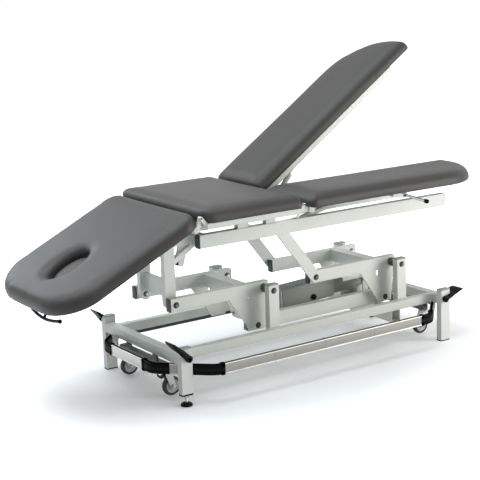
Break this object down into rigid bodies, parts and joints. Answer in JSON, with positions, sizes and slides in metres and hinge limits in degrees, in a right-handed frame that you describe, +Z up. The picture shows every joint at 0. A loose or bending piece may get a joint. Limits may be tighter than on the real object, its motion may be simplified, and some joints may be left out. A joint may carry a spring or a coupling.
{
  "type": "treatment_couch",
  "caption": "Electric treatment couch: tilting head section with face hole, seat, split leg section, parallelogram lift, foot switch ring and retractable castors",
  "frame": {"origin": "on the floor, under the middle of the overall length and width", "axes": "+X to the foot end, -X to the head end, -Y to the near side in the picture, +Z up"},
  "size_m": [2.0218, 0.726, 1.245],
  "materials": {
    "powder": "satin",
    "vinyl": "satin",
    "plug_vinyl": "satin",
    "aluminium": "brushed",
    "black": "matte",
    "grey": "satin",
    "zinc": "satin",
    "tyre": "matte"
  },
  "bodies": {
    "base": {"actuator_mount": "powder", "control_box": "grey", "end_frame_foot": "powder", "end_frame_head": "powder", "foot_cap_foot_far": "black", "foot_cap_foot_near": "black", "foot_cap_head_far": "black", "side_frame_far": "powder", "side_frame_near": "powder"},
    "levelling_foot": {"levelling_foot": "black"},
    "rocker_head": {"rocker_head": "powder"},
    "rocker_foot": {"rocker_foot": "powder"},
    "tie_bar": {"tie_bar": "powder"},
    "actuator": {"actuator_housing": "grey"},
    "actuator_rod": {"actuator_rod": "zinc"},
    "upper_frame": {"upper_rail_near": "powder", "upper_rail_far": "powder", "head_leg_frame": "powder", "seat_frame": "powder", "seat_pad": "vinyl"},
    "head_section": {"head_frame": "powder", "head_pad": "vinyl"},
    "face_plug": {"face_plug": "plug_vinyl"},
    "head_handle": {"head_handle": "black"},
    "head_stay_body": {"head_stay_body": "black"},
    "head_stay_rod": {"head_stay_rod": "zinc"},
    "switch_ring": {"switch_bar_far": "aluminium", "switch_bar_foot": "aluminium", "switch_bar_head": "aluminium", "switch_bar_near": "aluminium", "switch_corner_foot_far": "black", "switch_corner_foot_near": "black", "switch_corner_head_far": "black", "switch_corner_head_near": "black"},
    "leg_near": {"leg_frame_near": "powder", "leg_pad_near": "vinyl"},
    "leg_lever_near": {"leg_lever_near": "black"},
    "leg_stay_body_near": {"leg_stay_body_near": "black"},
    "leg_stay_rod_near": {"leg_stay_rod_near": "zinc"},
    "leg_far": {"leg_frame_far": "powder", "leg_pad_far": "vinyl"},
    "leg_lever_far": {"leg_lever_far": "black"},
    "leg_stay_body_far": {"leg_stay_body_far": "black"},
    "leg_stay_rod_far": {"leg_stay_rod_far": "zinc"},
    "pedal_shaft_head": {"pedal_shaft_head": "zinc", "pedal_head_near": "black", "pedal_head_far": "black"},
    "castor_carrier_head": {"castor_carrier_head": "zinc"},
    "castor_fork_head_near": {"castor_fork_head_near": "zinc"},
    "castor_wheel_head_near": {"castor_wheel_head_near": "tyre"},
    "castor_fork_head_far": {"castor_fork_head_far": "zinc"},
    "castor_wheel_head_far": {"castor_wheel_head_far": "tyre"},
    "pedal_shaft_foot": {"pedal_shaft_foot": "zinc", "pedal_foot_near": "black", "pedal_foot_far": "black"},
    "castor_carrier_foot": {"castor_carrier_foot": "zinc"},
    "castor_fork_foot_near": {"castor_fork_foot_near": "zinc"},
    "castor_wheel_foot_near": {"castor_wheel_foot_near": "tyre"},
    "castor_fork_foot_far": {"castor_fork_foot_far": "zinc"},
    "castor_wheel_foot_far": {"castor_wheel_foot_far": "tyre"}
  },
  "joints": [
    {"name": "lift", "type": "hinge", "parent": "base", "child": "rocker_head", "pos_m": [-0.06506, 0, 0.341], "axis": [0, 1, 0], "range_deg": [-24, 35]},
    {"name": "lift_foot", "type": "hinge", "parent": "base", "child": "rocker_foot", "pos_m": [0.58694, 0, 0.341], "axis": [0, 1, 0], "range_deg": [-24.5, 35.5]},
    {"name": "upper_level", "type": "hinge", "parent": "rocker_head", "child": "upper_frame", "pos_m": [-0.46506, 0, 0.341], "axis": [0, 1, 0], "range_deg": [-35.5, 24.5]},
    {"name": "tie_level", "type": "hinge", "parent": "rocker_head", "child": "tie_bar", "pos_m": [-0.09506, 0, 0.193], "axis": [0, 1, 0], "range_deg": [-35.5, 24.5]},
    {"name": "actuator_turn", "type": "hinge", "parent": "base", "child": "actuator", "pos_m": [0.55094, 0, 0.235], "axis": [0, 1, 0], "range_deg": [-2.31, 3.14]},
    {"name": "actuator_stroke", "type": "slide", "parent": "actuator", "child": "actuator_rod", "axis": [-0.999, 0, -0.0448], "range_m": [-0.05305, 0.07714]},
    {"name": "head_tilt", "type": "hinge", "parent": "upper_frame", "child": "head_section", "pos_m": [-0.44106, 0, 0.692], "axis": [0, 1, 0], "range_deg": [0, 60]},
    {"name": "head_stay_turn", "type": "hinge", "parent": "upper_frame", "child": "head_stay_body", "pos_m": [-0.35906, 0, 0.46], "axis": [0, 1, 0], "range_deg": [-0.5, 16.78]},
    {"name": "head_stay_stroke", "type": "slide", "parent": "head_stay_body", "child": "head_stay_rod", "axis": [-0.8557, 0, 0.5175], "range_m": [-0.0005, 0.14336]},
    {"name": "plug_lift", "type": "slide", "parent": "head_section", "child": "face_plug", "axis": [-0.4305, 0, 0.9026], "range_m": [0, 0.06]},
    {"name": "head_release", "type": "hinge", "parent": "head_section", "child": "head_handle", "pos_m": [-0.9326, 0, 0.42176], "axis": [0, 1, 0], "range_deg": [0, 15], "stiffness_Nm_per_rad": 3, "springref_deg": -17.19},
    {"name": "leg_near_raise", "type": "hinge", "parent": "upper_frame", "child": "leg_near", "pos_m": [0.03094, -0.1645, 0.66], "axis": [0, -1, 0], "range_deg": [0, 45]},
    {"name": "leg_stay_near_turn", "type": "hinge", "parent": "upper_frame", "child": "leg_stay_body_near", "pos_m": [0.13094, -0.1, 0.575], "axis": [0, -1, 0], "range_deg": [-0.5, 50.9]},
    {"name": "leg_stay_near_stroke", "type": "slide", "parent": "leg_stay_body_near", "child": "leg_stay_rod_near", "axis": [0.9773, 0, 0.2118], "range_m": [-0.0005, 0.09647]},
    {"name": "lever_near", "type": "hinge", "parent": "leg_near", "child": "leg_lever_near", "pos_m": [0.55094, -0.25, 0.638], "axis": [0, -1, 0], "range_deg": [0, 20], "stiffness_Nm_per_rad": 3, "springref_deg": -17.19},
    {"name": "leg_far_raise", "type": "hinge", "parent": "upper_frame", "child": "leg_far", "pos_m": [0.03094, 0.1645, 0.66], "axis": [0, -1, 0], "range_deg": [-34, 11]},
    {"name": "leg_stay_far_turn", "type": "hinge", "parent": "upper_frame", "child": "leg_stay_body_far", "pos_m": [0.13094, 0.1, 0.575], "axis": [0, -1, 0], "range_deg": [-37.3, 12.41]},
    {"name": "leg_stay_far_stroke", "type": "slide", "parent": "leg_stay_body_far", "child": "leg_stay_rod_far", "axis": [0.6392, 0, 0.769], "range_m": [-0.07551, 0.02477]},
    {"name": "lever_far", "type": "hinge", "parent": "leg_far", "child": "leg_lever_far", "pos_m": [0.47434, 0.25, 0.93254], "axis": [0, -1, 0], "range_deg": [0, 20], "stiffness_Nm_per_rad": 3, "springref_deg": -17.19},
    {"name": "switch_press", "type": "slide", "parent": "base", "child": "switch_ring", "axis": [0, 0, 1], "range_m": [-0.006, 0], "stiffness_N_per_m": 6000, "springref_m": 0.02},
    {"name": "levelling", "type": "slide", "parent": "base", "child": "levelling_foot", "axis": [0, 0, -1], "range_m": [0, 0.015]},
    {"name": "castors_down_head", "type": "slide", "parent": "base", "child": "castor_carrier_head", "axis": [0, 0, -1], "range_m": [0, 0.01214]},
    {"name": "pedal_head", "type": "hinge", "parent": "base", "child": "pedal_shaft_head", "pos_m": [-0.52106, 0, 0.183], "axis": [0, -1, 0], "range_deg": [-0.5, 45.5]},
    {"name": "swivel_head_near", "type": "hinge", "parent": "castor_carrier_head", "child": "castor_fork_head_near", "pos_m": [-0.53031, -0.16, 0.106], "axis": [0, 0, 1], "continuous": true},
    {"name": "wheel_head_near", "type": "hinge", "parent": "castor_fork_head_near", "child": "castor_wheel_head_near", "pos_m": [-0.51231, -0.16, 0.0415], "axis": [0, 1, 0], "continuous": true},
    {"name": "swivel_head_far", "type": "hinge", "parent": "castor_carrier_head", "child": "castor_fork_head_far", "pos_m": [-0.53031, 0.16, 0.106], "axis": [0, 0, 1], "continuous": true},
    {"name": "wheel_head_far", "type": "hinge", "parent": "castor_fork_head_far", "child": "castor_wheel_head_far", "pos_m": [-0.51231, 0.16, 0.0415], "axis": [0, 1, 0], "continuous": true},
    {"name": "castors_down_foot", "type": "slide", "parent": "base", "child": "castor_carrier_foot", "axis": [0, 0, -1], "range_m": [0, 0.01214]},
    {"name": "pedal_foot", "type": "hinge", "parent": "base", "child": "pedal_shaft_foot", "pos_m": [0.74294, 0, 0.183], "axis": [0, 1, 0], "range_deg": [-0.5, 45.5]},
    {"name": "swivel_foot_near", "type": "hinge", "parent": "castor_carrier_foot", "child": "castor_fork_foot_near", "pos_m": [0.75219, -0.16, 0.106], "axis": [0, 0, 1], "continuous": true},
    {"name": "wheel_foot_near", "type": "hinge", "parent": "castor_fork_foot_near", "child": "castor_wheel_foot_near", "pos_m": [0.73419, -0.16, 0.0415], "axis": [0, 1, 0], "continuous": true},
    {"name": "swivel_foot_far", "type": "hinge", "parent": "castor_carrier_foot", "child": "castor_fork_foot_far", "pos_m": [0.75219, 0.16, 0.106], "axis": [0, 0, 1], "continuous": true},
    {"name": "wheel_foot_far", "type": "hinge", "parent": "castor_fork_foot_far", "child": "castor_wheel_foot_far", "pos_m": [0.73419, 0.16, 0.0415], "axis": [0, 1, 0], "continuous": true}
  ],
  "couplings": [
    {"joint": "lift_foot", "follows": "lift", "ratio": 1},
    {"joint": "upper_level", "follows": "lift", "ratio": -1},
    {"joint": "tie_level", "follows": "lift", "ratio": -1},
    {"joint": "actuator_turn", "follows": "lift", "ratio": 0.075323},
    {"joint": "actuator_stroke", "follows": "lift", "m_per_rad": 0.12547},
    {"joint": "head_stay_turn", "follows": "head_tilt", "ratio": 0.27136},
    {"joint": "head_stay_stroke", "follows": "head_tilt", "m_per_rad": 0.13642},
    {"joint": "leg_stay_near_turn", "follows": "leg_near_raise", "ratio": 1.1201},
    {"joint": "leg_stay_near_stroke", "follows": "leg_near_raise", "m_per_rad": 0.12219},
    {"joint": "leg_stay_far_turn", "follows": "leg_far_raise", "ratio": 1.0823},
    {"joint": "leg_stay_far_stroke", "follows": "leg_far_raise", "m_per_rad": 0.1264},
    {"joint": "pedal_head", "follows": "castors_down_head", "rad_per_m": 64.689},
    {"joint": "pedal_foot", "follows": "castors_down_foot", "rad_per_m": 64.689}
  ]
}
